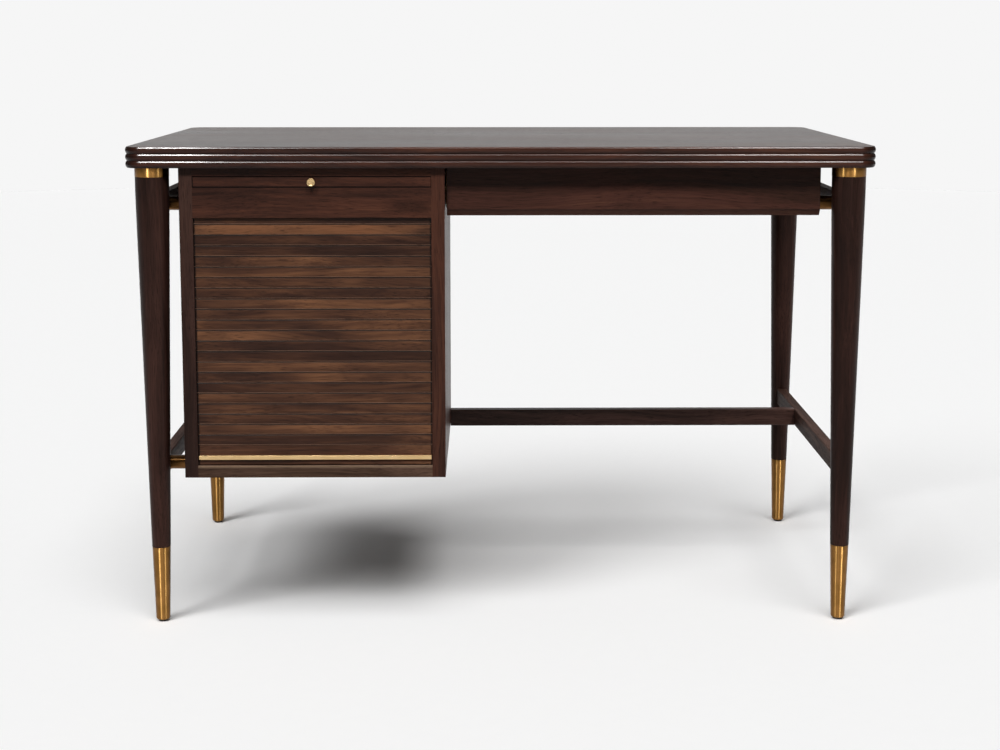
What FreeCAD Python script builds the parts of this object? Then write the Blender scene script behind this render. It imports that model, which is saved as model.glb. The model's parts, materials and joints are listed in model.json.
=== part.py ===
import FreeCAD, Part
import math
import os
from FreeCAD import Vector

# Tambour writing desk: a reeded top on four turned legs, side rails, and a case that
# hangs between the rails on brass spacers. The case holds a tambour cabinet with a
# writing slide over it on the left, and a pencil drawer on the right.
# Millimetres. Origin on the floor under the centre of the top, +X to the sitter's
# right, +Y away from the sitter, +Z up.

# ---- Top ----
top_length = 1143.0
top_depth = 610.0
desk_height = 749.0
top_thickness = 32.0
top_corner = 25.0            # plan radius of the corners
reed_count = 3               # beads worked round the edge
reed_bulge = 2.2             # from a bead's crest back to the groove beside it

# ---- Legs, collars and sabots ----
leg_inset_x = 38.0           # edge of the top to the leg's axis
leg_inset_y = 32.0
leg_radius = 25.7
leg_straight = 45.0          # parallel part, measured down from the top
leg_tip_radius = 14.4        # where the wood meets the sabot
collar_height = 14.4
collar_proud = 0.3
leg_spigot_radius = 12.0     # turned pin through the collar into the top
leg_spigot_in_top = 18.0
sabot_height = 121.0
sabot_mouth_radius = 14.2
sabot_foot_radius = 10.9
sabot_bore = 9.3             # radius of the socket for the leg's turned tip
sabot_floor = 5.0
sabot_toe = 3.0              # rounding at the foot
glide_radius = 7.5
glide_height = 3.0
glide_edge = 1.0

# ---- Rails and spacers ----
rail_height = 29.0
rail_thickness = 17.0
rail_arris = 1.0
upper_rail_drop = 45.0       # underside of the top to the upper rails
lower_rail_rise = 23.8       # cabinet's foot to the lower rails' upper edge
tenon_thickness = 9.0
tenon_shoulder = 5.0         # rail's edge to the tenon's edge
tenon_to_leg_axis = 4.0
cross_tenon = 8.0            # length of the cross rail's tenons
cross_rail_inset = 16.0      # back of the case to the cross rail
spacer_radius = 11.0
spacer_spigot_radius = 4.0
spacer_spigot = 8.0
spacer_inset = 64.0          # case's front and back to the spacers' axes
spacer_rim = 0.6

# ---- Case ----
case_inset = 81.5            # end of the top to the case's outer side
case_setback = 12.0          # edge of the top to the front of the cabinet
case_depth = 406.0
case_board = 20.5            # thickness of the upright boards
case_arris = 0.6             # eased edges of the boards
cabinet_width = 404.0
cabinet_height = 481.3
cabinet_bottom = 18.5
back_thickness = 6.0
back_rebate = 8.0            # how far the back laps into the boards
top_rail_height = 13.0
top_rail_depth = 14.0
face_rail_height = 47.0
face_rail_thickness = 9.0
face_rail_lip = 1.6          # its lower edge, thinned so that the curtain clears its back

# ---- Writing slide ----
slide_thickness = 16.0
slide_lip = 8.0              # solid edging across the front
slide_depth = 360.0
slide_bed = 6.0
slide_keeper = 22.0
slide_play = 0.4             # above, below and beside the board
slide_arris = 0.5
knob_radius = 6.3
knob_head = 4.5
knob_reach = 11.5
knob_neck_radius = 3.4
knob_flare = 1.5             # length of the neck's flare into the head
knob_edge = 0.8
knob_rim = 1.0               # flat ring round the dish
knob_dish = 0.6
knob_dish_slope = 0.8
knob_pin_radius = 2.0
knob_pin = 12.0

# ---- Tambour ----
slat_pitch = 16.4
slat_gap = 0.4
slat_thickness = 8.0
slat_arris = 1.0
slat_recess = 4.4            # front of the cabinet to the slats' faces
slat_side_play = 0.6
tongue_thickness = 5.0
tongue_length = 7.5
tongue_relief = 0.5          # a tongue is this much shorter than its slat, at each end
groove_width = 7.6
groove_depth = 8.0
track_bend = 32.0            # radius of the groove's centre line
bed_to_track = 5.7           # underside of the slide bed to the track's centre line
back_to_track = 5.5          # cabinet back to the track's centre line
rear_run = 70.0              # straight stretch below the rear bend
canvas_thickness = 0.6
canvas_margin = 14.0         # bare slat at each end of the canvas
lead_height = 31.6
lead_thickness = 12.0
lead_rebate = 12.0
lead_floor_gap = 0.3
pull_height = 6.8
pull_rise = 8.9              # lead rail's foot to the pull's underside
pull_reach = 3.6
pull_round = 1.0
pull_end_gap = 1.2
screw_count = 3
screw_radius = 1.6
screw_head_radius = 3.2
screw_head = 2.0
screw_in_pull = 2.4

# ---- Inside the cabinet ----
liner_thickness = 6.0
liner_gap = 1.5              # stored curtain to the liner
shelf_thickness = 16.0
shelf_height = 195.0         # cabinet floor to the underside of the shelf
shelf_gap = 0.8
shelf_front_gap = 6.0        # liner's front edge to the shelf's
shelf_back_gap = 4.0
shelf_nose = 2.0
pin_radius = 3.0
pin_reach = 10.0
pin_seat = 9.0
pin_inset = 40.0

# ---- Pencil drawer ----
drawer_setback = 30.0        # edge of the top to the drawer's face
drawer_front_height = 74.0
drawer_front_thickness = 18.0
drawer_top_gap = 1.5
drawer_side_gap = 2.8        # cabinet to the drawer front
drawer_case_gap = 0.5
finger_bevel_height = 10.0
finger_bevel_depth = 8.0
drawer_side = 14.0
drawer_side_height = 56.0
drawer_side_rise = 11.0      # front's lower edge to the sides'
drawer_play = 1.5
drawer_length = 340.0
drawer_back = 12.0
drawer_bottom = 5.0
drawer_bottom_rise = 5.0
drawer_bottom_tongue = 5.0
runner_height = 10.0
runner_thickness = 7.0
runner_play = 0.3
runner_end_gap = 0.5
runner_rise = 24.0           # drawer side's lower edge to the runner
case_side_height = 72.0
case_back = 16.0

fit = 0.05                   # clearance round tenons, spigots, pins and screws
near = 0.01                  # how close an edge lies to a face that it is picked by

# ---- Levels and faces that the pieces share ----
underside = desk_height - top_thickness
half_x = top_length / 2
half_y = top_depth / 2
leg_x = half_x - leg_inset_x
leg_y = half_y - leg_inset_y
taper_top = underside - leg_straight
upper_rail_top = underside - upper_rail_drop
rail_inner = leg_x - rail_thickness / 2

case_half_width = half_x - case_inset
cabinet_foot = underside - cabinet_height
cabinet_floor = cabinet_foot + cabinet_bottom
lower_rail_top = cabinet_foot + lower_rail_rise
case_front = -half_y + case_setback
case_rear = case_front + case_depth
cabinet_left = -case_half_width
cabinet_right = cabinet_left + cabinet_width
inner_left = cabinet_left + case_board
inner_right = cabinet_right - case_board
back_face = case_rear - back_thickness
spacer_rows = (case_front + spacer_inset, case_rear - spacer_inset)

slide_top = underside - top_rail_height - slide_play
slide_foot = slide_top - slide_thickness
bed_top = slide_foot - slide_play
bed_foot = bed_top - slide_bed
opening_top = bed_top - face_rail_height

slat_face = case_front + slat_recess
slat_rear = slat_face + slat_thickness
track_front = slat_face + slat_thickness / 2
track_top = bed_foot - bed_to_track
track_rear = back_face - back_to_track
bend_level = track_top - track_bend
bend_front = track_front + track_bend
bend_rear = track_rear - track_bend
canvas_bend = track_bend - slat_thickness / 2
lead_foot = cabinet_floor + lead_floor_gap
lead_top = lead_foot + lead_height

drawer_face = -half_y + drawer_setback
drawer_box_front = drawer_face + drawer_front_thickness
drawer_foot = underside - drawer_top_gap - drawer_front_height
side_foot = drawer_foot + drawer_side_rise
runner_foot = side_foot + runner_rise
case_side_inner = case_half_width - case_board

left_right = {"left": -1, "right": 1}
front_rear = {"front": -1, "rear": 1}


# ---- Helpers ----
def block(x, y, z):
    # a board between two faces on each axis
    x0, x1 = sorted(x)
    y0, y1 = sorted(y)
    z0, z1 = sorted(z)
    return Part.makeBox(x1 - x0, y1 - y0, z1 - z0, Vector(x0, y0, z0))


def rod(radius, start, end):
    # a round bar from one point to another
    run = end - start
    return Part.makeCylinder(radius, run.Length, start, run)


def turned(profile, foot, axis):
    # a lathe-turned solid: profile holds (radius, distance along the axis) points
    across = Vector(1, 0, 0) if abs(axis.x) < 0.5 else Vector(0, 1, 0)
    points = [foot + across * r + axis * d for r, d in profile]
    face = Part.Face(Part.makePolygon(points + points[:1]))
    return face.revolve(foot, axis, 360)


def outline(points, run):
    # a flat outline pushed along a vector
    return Part.Face(Part.makePolygon(points + points[:1])).extrude(run)


def joined(shapes):
    # pieces glued into one solid, with the seams between flush faces taken out
    return shapes[0].fuse(shapes[1:]).removeSplitter()


def edges_where(shape, test):
    return [edge for edge in shape.Edges if test(edge)]


def eased(board, test):
    # a board with its chosen edges taken off
    return board.makeChamfer(case_arris, edges_where(board, test))


def along_front(level):
    # picks a board's long front edge at a level
    return lambda e: (e.BoundBox.YMax < case_front + near and e.BoundBox.XLength > near
                      and abs(e.BoundBox.ZMin - level) < near)


def quarter_bend(x, y, z, inner, outer, side):
    # a quarter ring about an axis along X; side is -1 for the bend at the front, +1 at the rear
    start = Vector(min(x), y, z)
    end = Vector(max(x), y, z)
    ring = rod(outer, start, end).cut(rod(inner, start, end))
    return ring.common(block(x, (y, y + side * outer), (z, z + outer)))


# ---- Top ----
def reeded_section(half, across, sides):
    # the top's cross-section: flat above and below, beads at its edges; across is the
    # unit vector from the middle to an edge, sides is (1, -1) for both edges or (1,) for one
    bead = top_thickness / reed_count
    root = half - reed_bulge
    up = Vector(0, 0, 1)
    edges = []
    for side in sides:
        for number in range(reed_count):
            lower = underside + number * bead
            ends = [across * (side * root) + up * level for level in (lower, lower + bead)]
            crest = across * (side * half) + up * (lower + bead / 2)
            edges.append(Part.Arc(ends[0], crest, ends[1]).toShape())
    start = -root if len(sides) == 2 else 0
    for level in (underside, desk_height):
        edges.append(Part.makeLine(across * start + up * level, across * root + up * level))
    if start == 0:
        edges.append(Part.makeLine(up * underside, up * desk_height))
    return Part.Face(Part.Wire(Part.__sortEdges__(edges)))


def make_top():
    # a moulding as wide as the top, a strip at each end, and a turned quarter in each corner
    straight_x = half_x - top_corner
    straight_y = half_y - top_corner
    middle = reeded_section(half_y, Vector(0, 1, 0), (1, -1))
    middle.translate(Vector(-straight_x, 0, 0))
    parts = [middle.extrude(Vector(2 * straight_x, 0, 0))]
    for side_x in (-1, 1):
        section = reeded_section(top_corner, Vector(side_x, 0, 0), (1,))
        for side_y in (-1, 1):
            corner = section.revolve(Vector(), Vector(0, 0, 1), 90 * side_x * side_y)
            corner.translate(Vector(side_x * straight_x, side_y * straight_y, 0))
            parts.append(corner)
        section.translate(Vector(side_x * straight_x, -straight_y, 0))
        parts.append(section.extrude(Vector(0, 2 * straight_y, 0)))
    top = joined(parts)
    for side_x in (-1, 1):
        for side_y in (-1, 1):
            mouth = Vector(side_x * leg_x, side_y * leg_y, underside)
            top = top.cut(rod(leg_spigot_radius + fit, mouth,
                              mouth + Vector(0, 0, leg_spigot_in_top + fit)))
    return top


# ---- Legs ----
def leg_solid(x, y, grown=0.0):
    # one turned leg; grown swells it, for scribing a rail to it
    tip = glide_height + sabot_floor + fit
    collar_foot = underside - collar_height
    profile = [(0, tip),
               (sabot_bore - fit, tip),
               (sabot_bore - fit, sabot_height),
               (leg_tip_radius, sabot_height),
               (leg_radius, taper_top),
               (leg_radius, collar_foot),
               (leg_spigot_radius, collar_foot),
               (leg_spigot_radius, underside + leg_spigot_in_top),
               (0, underside + leg_spigot_in_top)]
    swollen = [(r + grown if r else 0, d) for r, d in profile]
    return turned(swollen, Vector(x, y, 0), Vector(0, 0, 1))


def tenon_block(x, top, play=0.0):
    # the bar of wood that makes both tenons of a side rail, or cuts both mortises
    half = tenon_thickness / 2 + play
    reach = leg_y - tenon_to_leg_axis + play
    return block((x - half, x + half), (-reach, reach),
                 (top - tenon_shoulder + play, top - rail_height + tenon_shoulder - play))


def make_leg(x, y):
    leg = leg_solid(x, y)
    for level in (upper_rail_top, lower_rail_top):
        leg = leg.cut(tenon_block(x, level, fit))
    return leg


def make_collar(x, y):
    foot = Vector(x, y, underside - collar_height)
    outer = leg_radius + collar_proud
    rim = collar_proud
    profile = [(leg_spigot_radius + fit, 0), (outer - rim, 0), (outer, rim),
               (outer, collar_height - rim), (outer - rim, collar_height),
               (leg_spigot_radius + fit, collar_height)]
    return turned(profile, foot, Vector(0, 0, 1))


def make_sabot(x, y):
    # a tapered brass cup, rounded to its foot
    rise = sabot_height - glide_height
    toe = sabot_toe
    turn = toe * (1 - math.sqrt(0.5))
    profile = [(0, 0), (sabot_foot_radius - toe, 0), (sabot_foot_radius - turn, turn),
               (sabot_foot_radius, toe), (sabot_mouth_radius, rise), (sabot_bore, rise),
               (sabot_bore, sabot_floor), (0, sabot_floor)]
    return turned(profile, Vector(x, y, glide_height), Vector(0, 0, 1))


def make_glide(x, y):
    return turned([(0, 0), (glide_radius - glide_edge, 0), (glide_radius, glide_edge),
                   (glide_radius, glide_height), (0, glide_height)],
                  Vector(x, y, 0), Vector(0, 0, 1))


# ---- Rails and spacers ----
def spacer_levels(side):
    # heights of the spacers' axes: the drawer case at the right hangs from the upper rail only
    levels = {"upper": upper_rail_top - rail_height / 2}
    if side < 0:
        levels["lower"] = lower_rail_top - rail_height / 2
    return levels


def spigot_holes(side, face, inward):
    # the blind holes that take the spacers' spigots, bored from a face along X
    holes = []
    for level in spacer_levels(side).values():
        for y in spacer_rows:
            mouth = Vector(face, y, level)
            holes.append(rod(spacer_spigot_radius + fit, mouth,
                             mouth + Vector(inward * (spacer_spigot + fit), 0, 0)))
    return holes


def cross_rail_span():
    rear = case_rear - cross_rail_inset
    return rear - rail_thickness, rear


def cross_tenon_bar(play=0.0):
    y0, y1 = cross_rail_span()
    middle = (y0 + y1) / 2
    half = tenon_thickness / 2 + play
    return block((cabinet_right - cross_tenon - play, rail_inner + cross_tenon + play),
                 (middle - half, middle + half),
                 (lower_rail_top - tenon_shoulder + play,
                  lower_rail_top - rail_height + tenon_shoulder - play))


def make_side_rail(side, top):
    # scribed to both legs, tenoned into them, with softened long edges
    x = side * leg_x
    half = rail_thickness / 2
    bar = block((x - half, x + half), (-leg_y, leg_y), (top - rail_height, top))
    long_edges = edges_where(bar, lambda e: e.BoundBox.YLength > leg_y)
    bar = bar.makeChamfer(rail_arris, long_edges)
    for end in (-1, 1):
        bar = bar.cut(leg_solid(x, end * leg_y, fit))
    rail = joined([bar, tenon_block(x, top)])
    for hole in spigot_holes(side, side * rail_inner, side):
        rail = rail.cut(hole)
    if side > 0 and top == lower_rail_top:
        rail = rail.cut(cross_tenon_bar(fit))
    return rail


def make_cross_rail():
    bar = block((cabinet_right, rail_inner), cross_rail_span(),
                (lower_rail_top - rail_height, lower_rail_top))
    bar = bar.makeChamfer(rail_arris, edges_where(bar, lambda e: e.BoundBox.XLength > near))
    return joined([bar, cross_tenon_bar()])


def make_spacer(side, y, level):
    # a brass bar with a spigot at each end and eased rims
    rim = spacer_rim
    length = rail_inner - case_half_width
    profile = [(0, -spacer_spigot), (spacer_spigot_radius, -spacer_spigot),
               (spacer_spigot_radius, 0), (spacer_radius - rim, 0), (spacer_radius, rim),
               (spacer_radius, length - rim), (spacer_radius - rim, length),
               (spacer_spigot_radius, length), (spacer_spigot_radius, length + spacer_spigot),
               (0, length + spacer_spigot)]
    return turned(profile, Vector(side * case_half_width, y, level), Vector(side, 0, 0))


# ---- Cabinet ----
def tambour_track(x):
    # the groove: up behind the face rail, back over the liner, and down at the rear
    half = groove_width / 2
    rings = (track_bend - half, track_bend + half)
    return joined([
        block(x, (track_front - half, track_front + half), (cabinet_floor, bend_level)),
        quarter_bend(x, bend_front, bend_level, *rings, -1),
        block(x, (bend_front, bend_rear), (track_top - half, track_top + half)),
        quarter_bend(x, bend_rear, bend_level, *rings, 1),
        block(x, (track_rear - half, track_rear + half), (bend_level - rear_run, bend_level))])


def pin_points():
    front = bend_front + shelf_front_gap + pin_inset
    rear = liner_rear_face() - liner_thickness - shelf_back_gap - pin_inset
    level = cabinet_floor + shelf_height - pin_radius
    return [(y, level) for y in (front, rear)]


def make_cabinet_side(side):
    # side is -1 for the outer board, +1 for the one beside the knee space
    inner = inner_left if side < 0 else inner_right
    outer = cabinet_left if side < 0 else cabinet_right
    board = block((outer, inner), (case_front, case_rear), (cabinet_foot, underside))
    board = eased(board, lambda e: (e.BoundBox.XLength < near and e.BoundBox.ZMin < underside - near
                                    and abs(e.BoundBox.XMin - outer) < near))
    board = board.cut(tambour_track((inner, inner + side * groove_depth)))
    board = board.cut(block((inner, inner + side * back_rebate), (back_face, case_rear),
                            (cabinet_foot, underside)))
    for y, level in pin_points():
        mouth = Vector(inner, y, level)
        board = board.cut(rod(pin_radius + fit, mouth,
                              mouth + Vector(side * (pin_seat + fit), 0, 0)))
    if side < 0:
        for hole in spigot_holes(-1, outer, 1):
            board = board.cut(hole)
    else:
        board = board.cut(cross_tenon_bar(fit))
    return board


def make_liner():
    # one bent sheet between the cabinet's hollow and the stored curtain
    outer = canvas_bend - canvas_thickness - liner_gap
    inner = outer - liner_thickness
    x = (inner_left, inner_right)
    return joined([
        block(x, (bend_front, bend_rear), (bend_level + inner, bend_level + outer)),
        quarter_bend(x, bend_rear, bend_level, inner, outer, 1),
        block(x, (bend_rear + inner, bend_rear + outer), (cabinet_floor, bend_level))])


def liner_rear_face():
    return bend_rear + canvas_bend - canvas_thickness - liner_gap


def make_shelf():
    rear = liner_rear_face() - liner_thickness - shelf_back_gap
    foot = cabinet_floor + shelf_height
    shelf = block((inner_left + shelf_gap, inner_right - shelf_gap),
                  (bend_front + shelf_front_gap, rear), (foot, foot + shelf_thickness))
    front = bend_front + shelf_front_gap
    nose = edges_where(shelf, lambda e: e.BoundBox.YMax < front + near and e.BoundBox.XLength > near)
    return shelf.makeFillet(shelf_nose, nose)


def make_pins():
    pins = []
    for inner, inward in ((inner_left, 1), (inner_right, -1)):
        for y, level in pin_points():
            mouth = Vector(inner, y, level)
            pins.append(rod(pin_radius, mouth - Vector(inward * pin_seat, 0, 0),
                            mouth + Vector(inward * pin_reach, 0, 0)))
    return Part.makeCompound(pins)


def make_face_rail():
    # full thickness where the slide's bed meets it, thinned from behind down to its lip
    back = case_front + face_rail_thickness
    profile = [(case_front, opening_top), (case_front, bed_top), (back, bed_top), (back, bed_foot),
               (case_front + face_rail_lip, opening_top)]
    rail = outline([Vector(inner_left, y, z) for y, z in profile],
                   Vector(inner_right - inner_left, 0, 0))
    return eased(rail, along_front(opening_top))


def make_keepers():
    # two battens that hold the slide down when it is drawn out
    span = (case_front + top_rail_depth, back_face)
    level = (underside - top_rail_height, underside)
    return Part.makeCompound([block((inner_left, inner_left + slide_keeper), span, level),
                              block((inner_right - slide_keeper, inner_right), span, level)])


# ---- Tambour ----
def on_track(distance):
    # place and turn of a slat whose back lies this far along the canvas, measured from the floor
    bend_length = canvas_bend * math.pi / 2
    if distance <= bend_level:
        return slat_rear, distance, 0.0
    turn = (distance - bend_level) / canvas_bend
    if turn < math.pi / 2:
        return (bend_front - canvas_bend * math.cos(turn),
                bend_level + canvas_bend * math.sin(turn), math.degrees(turn))
    return (bend_front + distance - bend_level - bend_length, bend_level + canvas_bend, 90.0)


def tongued_rail(height, thickness, back):
    # a slat or the lead rail, standing upright: eased front arrises, a tongue at each end
    half_width = (inner_right - inner_left) / 2 - slat_side_play
    middle = (inner_left + inner_right) / 2
    face = back - thickness
    body = block((middle - half_width, middle + half_width), (face, back),
                 (-height / 2, height / 2))
    arrises = edges_where(body, lambda e: e.BoundBox.YMax < face + near and e.BoundBox.XLength > near)
    body = body.makeChamfer(slat_arris, arrises)
    tongue_middle = face + slat_thickness / 2
    reach = half_width + slat_side_play + tongue_length
    tongue = block((middle - reach, middle + reach),
                   (tongue_middle - tongue_thickness / 2, tongue_middle + tongue_thickness / 2),
                   (-height / 2 + tongue_relief, height / 2 - tongue_relief))
    return joined([body, tongue])


def make_slats():
    # each slat lies flat on the canvas, so those in the bend fan open at the front
    pattern = tongued_rail(slat_pitch - slat_gap, slat_thickness, 0.0)
    needed = bend_level + canvas_bend * math.pi / 2 - lead_top
    slats = []
    for number in range(math.ceil(needed / slat_pitch)):
        y, z, turn = on_track(lead_top + (number + 0.5) * slat_pitch)
        slat = pattern.copy()
        slat.rotate(Vector(), Vector(1, 0, 0), -turn)
        slat.translate(Vector(0, y, z))
        slats.append(slat)
    return Part.makeCompound(slats)


def make_canvas():
    # the cloth that hinges the slats, glued down their backs
    needed = bend_level + canvas_bend * math.pi / 2 - lead_top
    end = lead_top + math.ceil(needed / slat_pitch) * slat_pitch
    tail = on_track(end)[0]
    x = (inner_left + canvas_margin, inner_right - canvas_margin)
    inner = canvas_bend - canvas_thickness
    return joined([
        block(x, (slat_rear, slat_rear + canvas_thickness),
              (lead_top - lead_rebate + fit, bend_level)),
        quarter_bend(x, bend_front, bend_level, inner, canvas_bend, -1),
        block(x, (bend_front, tail), (bend_level + inner, bend_level + canvas_bend))])


def screw_places():
    span = inner_right - inner_left
    return [inner_left + span * (number + 0.5) / screw_count for number in range(screw_count)]


def pull_middle():
    return lead_foot + pull_rise + pull_height / 2


def make_screw(x, grown=0.0):
    # a countersunk screw from the back of the lead rail into the pull
    back = slat_face + lead_thickness
    length = lead_thickness + screw_in_pull
    head = screw_head_radius + grown
    shank = screw_radius + grown
    profile = [(0, 0), (head, 0), (shank, screw_head), (shank, length + grown), (0, length + grown)]
    return turned(profile, Vector(x, back, pull_middle()), Vector(0, -1, 0))


def make_lead_rail():
    rail = tongued_rail(lead_height, lead_thickness, slat_face + lead_thickness)
    rail.translate(Vector(0, 0, (lead_foot + lead_top) / 2))
    x = (inner_left + canvas_margin - fit, inner_right - canvas_margin + fit)
    rail = rail.cut(block(x, (slat_rear, slat_face + lead_thickness),
                          (lead_top - lead_rebate, lead_top)))
    for place in screw_places():
        rail = rail.cut(make_screw(place, fit))
    return rail


def make_pull():
    # a full-width brass bar on the face of the lead rail
    x = (inner_left + pull_end_gap, inner_right - pull_end_gap)
    foot = lead_foot + pull_rise
    front = slat_face - pull_reach
    bar = block(x, (front, slat_face), (foot, foot + pull_height))
    nose = edges_where(bar, lambda e: e.BoundBox.YMax < front + near)
    bar = bar.makeFillet(pull_round, nose)
    for place in screw_places():
        bar = bar.cut(make_screw(place, fit))
    return bar


# ---- Writing slide ----
def knob_axis():
    return Vector((inner_left + inner_right) / 2, case_front, (slide_top + slide_foot) / 2)


def knob_hole():
    start = knob_axis()
    return rod(knob_pin_radius + fit, start, start + Vector(0, knob_pin + fit, 0))


def slide_board(y):
    return block((inner_left + slide_play, inner_right - slide_play), y, (slide_foot, slide_top))


def make_slide_lip():
    lip = slide_board((case_front, case_front + slide_lip))
    face = edges_where(lip, lambda e: e.BoundBox.YMax < case_front + near)
    return lip.makeChamfer(slide_arris, face).cut(knob_hole())


def make_slide():
    return slide_board((case_front + slide_lip, case_front + slide_depth)).cut(knob_hole())


def make_knob():
    # a short turned knob with a dished face
    neck = knob_reach - knob_head
    rim = knob_radius - knob_edge
    dish = rim - knob_rim
    profile = [(0, -knob_pin), (knob_pin_radius, -knob_pin), (knob_pin_radius, 0),
               (knob_neck_radius, 0), (knob_neck_radius, neck - knob_flare), (rim, neck),
               (knob_radius, neck + knob_edge), (knob_radius, knob_reach - knob_edge),
               (rim, knob_reach), (dish, knob_reach),
               (dish - knob_dish_slope, knob_reach - knob_dish), (0, knob_reach - knob_dish)]
    return turned(profile, knob_axis(), Vector(0, -1, 0))


# ---- Drawer case and drawer ----
def runner_bars(play=0.0, end=0.0):
    # the two strips that the drawer sides ride on; grown by play they cut the grooves
    reach = runner_thickness + play
    span = (drawer_box_front + runner_end_gap - end, case_rear - case_back)
    level = (runner_foot - play, runner_foot + runner_height + play)
    return [block((cabinet_right, cabinet_right + reach), span, level),
            block((case_side_inner - reach, case_side_inner), span, level)]


def make_case_side():
    foot = underside - case_side_height
    board = block((case_side_inner, case_half_width),
                  (drawer_box_front + drawer_case_gap, case_rear), (foot, underside))
    board = eased(board, lambda e: e.BoundBox.ZMax < foot + near and e.BoundBox.YLength > near)
    for hole in spigot_holes(1, case_half_width, -1):
        board = board.cut(hole)
    return board


def make_case_back():
    return block((cabinet_right, case_side_inner), (case_rear - case_back, case_rear),
                 (underside - case_side_height, underside))


def drawer_side_faces(side):
    # outer and inner X of a drawer side
    outer = cabinet_right + drawer_play if side < 0 else case_side_inner - drawer_play
    return outer, outer - side * drawer_side


def drawer_bottom_board(play=0.0):
    left = drawer_side_faces(-1)[1] - drawer_bottom_tongue - play
    right = drawer_side_faces(1)[1] + drawer_bottom_tongue + play
    foot = side_foot + drawer_bottom_rise
    return block((left, right), (drawer_box_front, drawer_box_front + drawer_length),
                 (foot - play, foot + drawer_bottom + play))


def make_drawer_front():
    # a plain board, bevelled back along its lower edge for the fingers
    foot = drawer_foot
    head = foot + drawer_front_height
    x0 = cabinet_right + drawer_side_gap
    section = [Vector(x0, drawer_box_front, foot), Vector(x0, drawer_box_front, head),
               Vector(x0, drawer_face, head), Vector(x0, drawer_face, foot + finger_bevel_height),
               Vector(x0, drawer_face + finger_bevel_depth, foot)]
    board = outline(section, Vector(case_half_width - x0, 0, 0))
    return eased(board, lambda e: (e.BoundBox.YMax < drawer_face + near
                                   and e.BoundBox.ZMax > head - near))


def make_drawer_side(side):
    outer, inner = drawer_side_faces(side)
    board = block((outer, inner), (drawer_box_front, drawer_box_front + drawer_length),
                  (side_foot, side_foot + drawer_side_height))
    for bar in runner_bars(runner_play, 2 * runner_end_gap):
        board = board.cut(bar)
    return board.cut(drawer_bottom_board(fit))


def make_drawer_back():
    rear = drawer_box_front + drawer_length
    foot = side_foot + drawer_bottom_rise + drawer_bottom
    return block((drawer_side_faces(-1)[1], drawer_side_faces(1)[1]), (rear - drawer_back, rear),
                 (foot + fit, side_foot + drawer_side_height))


# ---- All pieces ----
def build():
    inside = (inner_left, inner_right)
    pieces = {"desk_top": make_top(), "cross_rail": make_cross_rail()}
    collars, sabots, glides = [], [], []
    for side_name, side in left_right.items():
        for end_name, end in front_rear.items():
            place = (side * leg_x, end * leg_y)
            corner = f"{end_name}_{side_name}"
            pieces[f"leg_{corner}"] = make_leg(*place)
            collars.append(make_collar(*place))
            sabots.append(make_sabot(*place))
            glides.append(make_glide(*place))
        pieces[f"upper_rail_{side_name}"] = make_side_rail(side, upper_rail_top)
        pieces[f"lower_rail_{side_name}"] = make_side_rail(side, lower_rail_top)
        for level_name, level in spacer_levels(side).items():
            pair = [make_spacer(side, y, level) for y in spacer_rows]
            pieces[f"spacers_{level_name}_{side_name}"] = Part.makeCompound(pair)
        pieces[f"cabinet_side_{side_name}"] = make_cabinet_side(side)
        pieces[f"drawer_side_{side_name}"] = make_drawer_side(side)
    pieces["leg_collars"] = Part.makeCompound(collars)
    pieces["sabots"] = Part.makeCompound(sabots)
    pieces["foot_glides"] = Part.makeCompound(glides)

    bottom = block(inside, (case_front, back_face), (cabinet_foot, cabinet_floor))
    pieces["cabinet_bottom"] = eased(bottom, along_front(cabinet_floor))
    pieces["cabinet_back"] = block((inner_left - back_rebate, inner_right + back_rebate),
                                   (back_face, case_rear), (cabinet_foot, underside))
    top_rail = block(inside, (case_front, case_front + top_rail_depth),
                     (underside - top_rail_height, underside))
    pieces["top_rail"] = eased(top_rail, along_front(underside - top_rail_height))
    pieces["face_rail"] = make_face_rail()
    pieces["slide_bed"] = block(inside, (case_front + face_rail_thickness, back_face),
                                (bed_foot, bed_top))
    pieces["slide_keepers"] = make_keepers()
    pieces["cabinet_liner"] = make_liner()
    pieces["cabinet_shelf"] = make_shelf()
    pieces["shelf_pins"] = make_pins()

    pieces["tambour_slats"] = make_slats()
    pieces["tambour_canvas"] = make_canvas()
    pieces["tambour_lead_rail"] = make_lead_rail()
    pieces["tambour_pull"] = make_pull()
    pieces["pull_screws"] = Part.makeCompound([make_screw(place) for place in screw_places()])

    pieces["writing_slide"] = make_slide()
    pieces["slide_lip"] = make_slide_lip()
    pieces["slide_knob"] = make_knob()

    pieces["drawer_case_side"] = make_case_side()
    pieces["drawer_case_back"] = make_case_back()
    pieces["drawer_runners"] = Part.makeCompound(runner_bars())
    pieces["drawer_front"] = make_drawer_front()
    pieces["drawer_back"] = make_drawer_back()
    pieces["drawer_bottom"] = drawer_bottom_board()
    return pieces


os.makedirs("parts", exist_ok=True)
for node, shape in build().items():
    shape.exportStep(os.path.join("parts", node + ".step"))
    box = shape.BoundBox
    print(f"{node:28s} {len(shape.Solids):2d} solids  valid {shape.isValid()}  "
          f"{box.XLength:7.1f} x {box.YLength:6.1f} x {box.ZLength:6.1f}")
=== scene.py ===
import json
import math
import random

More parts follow.
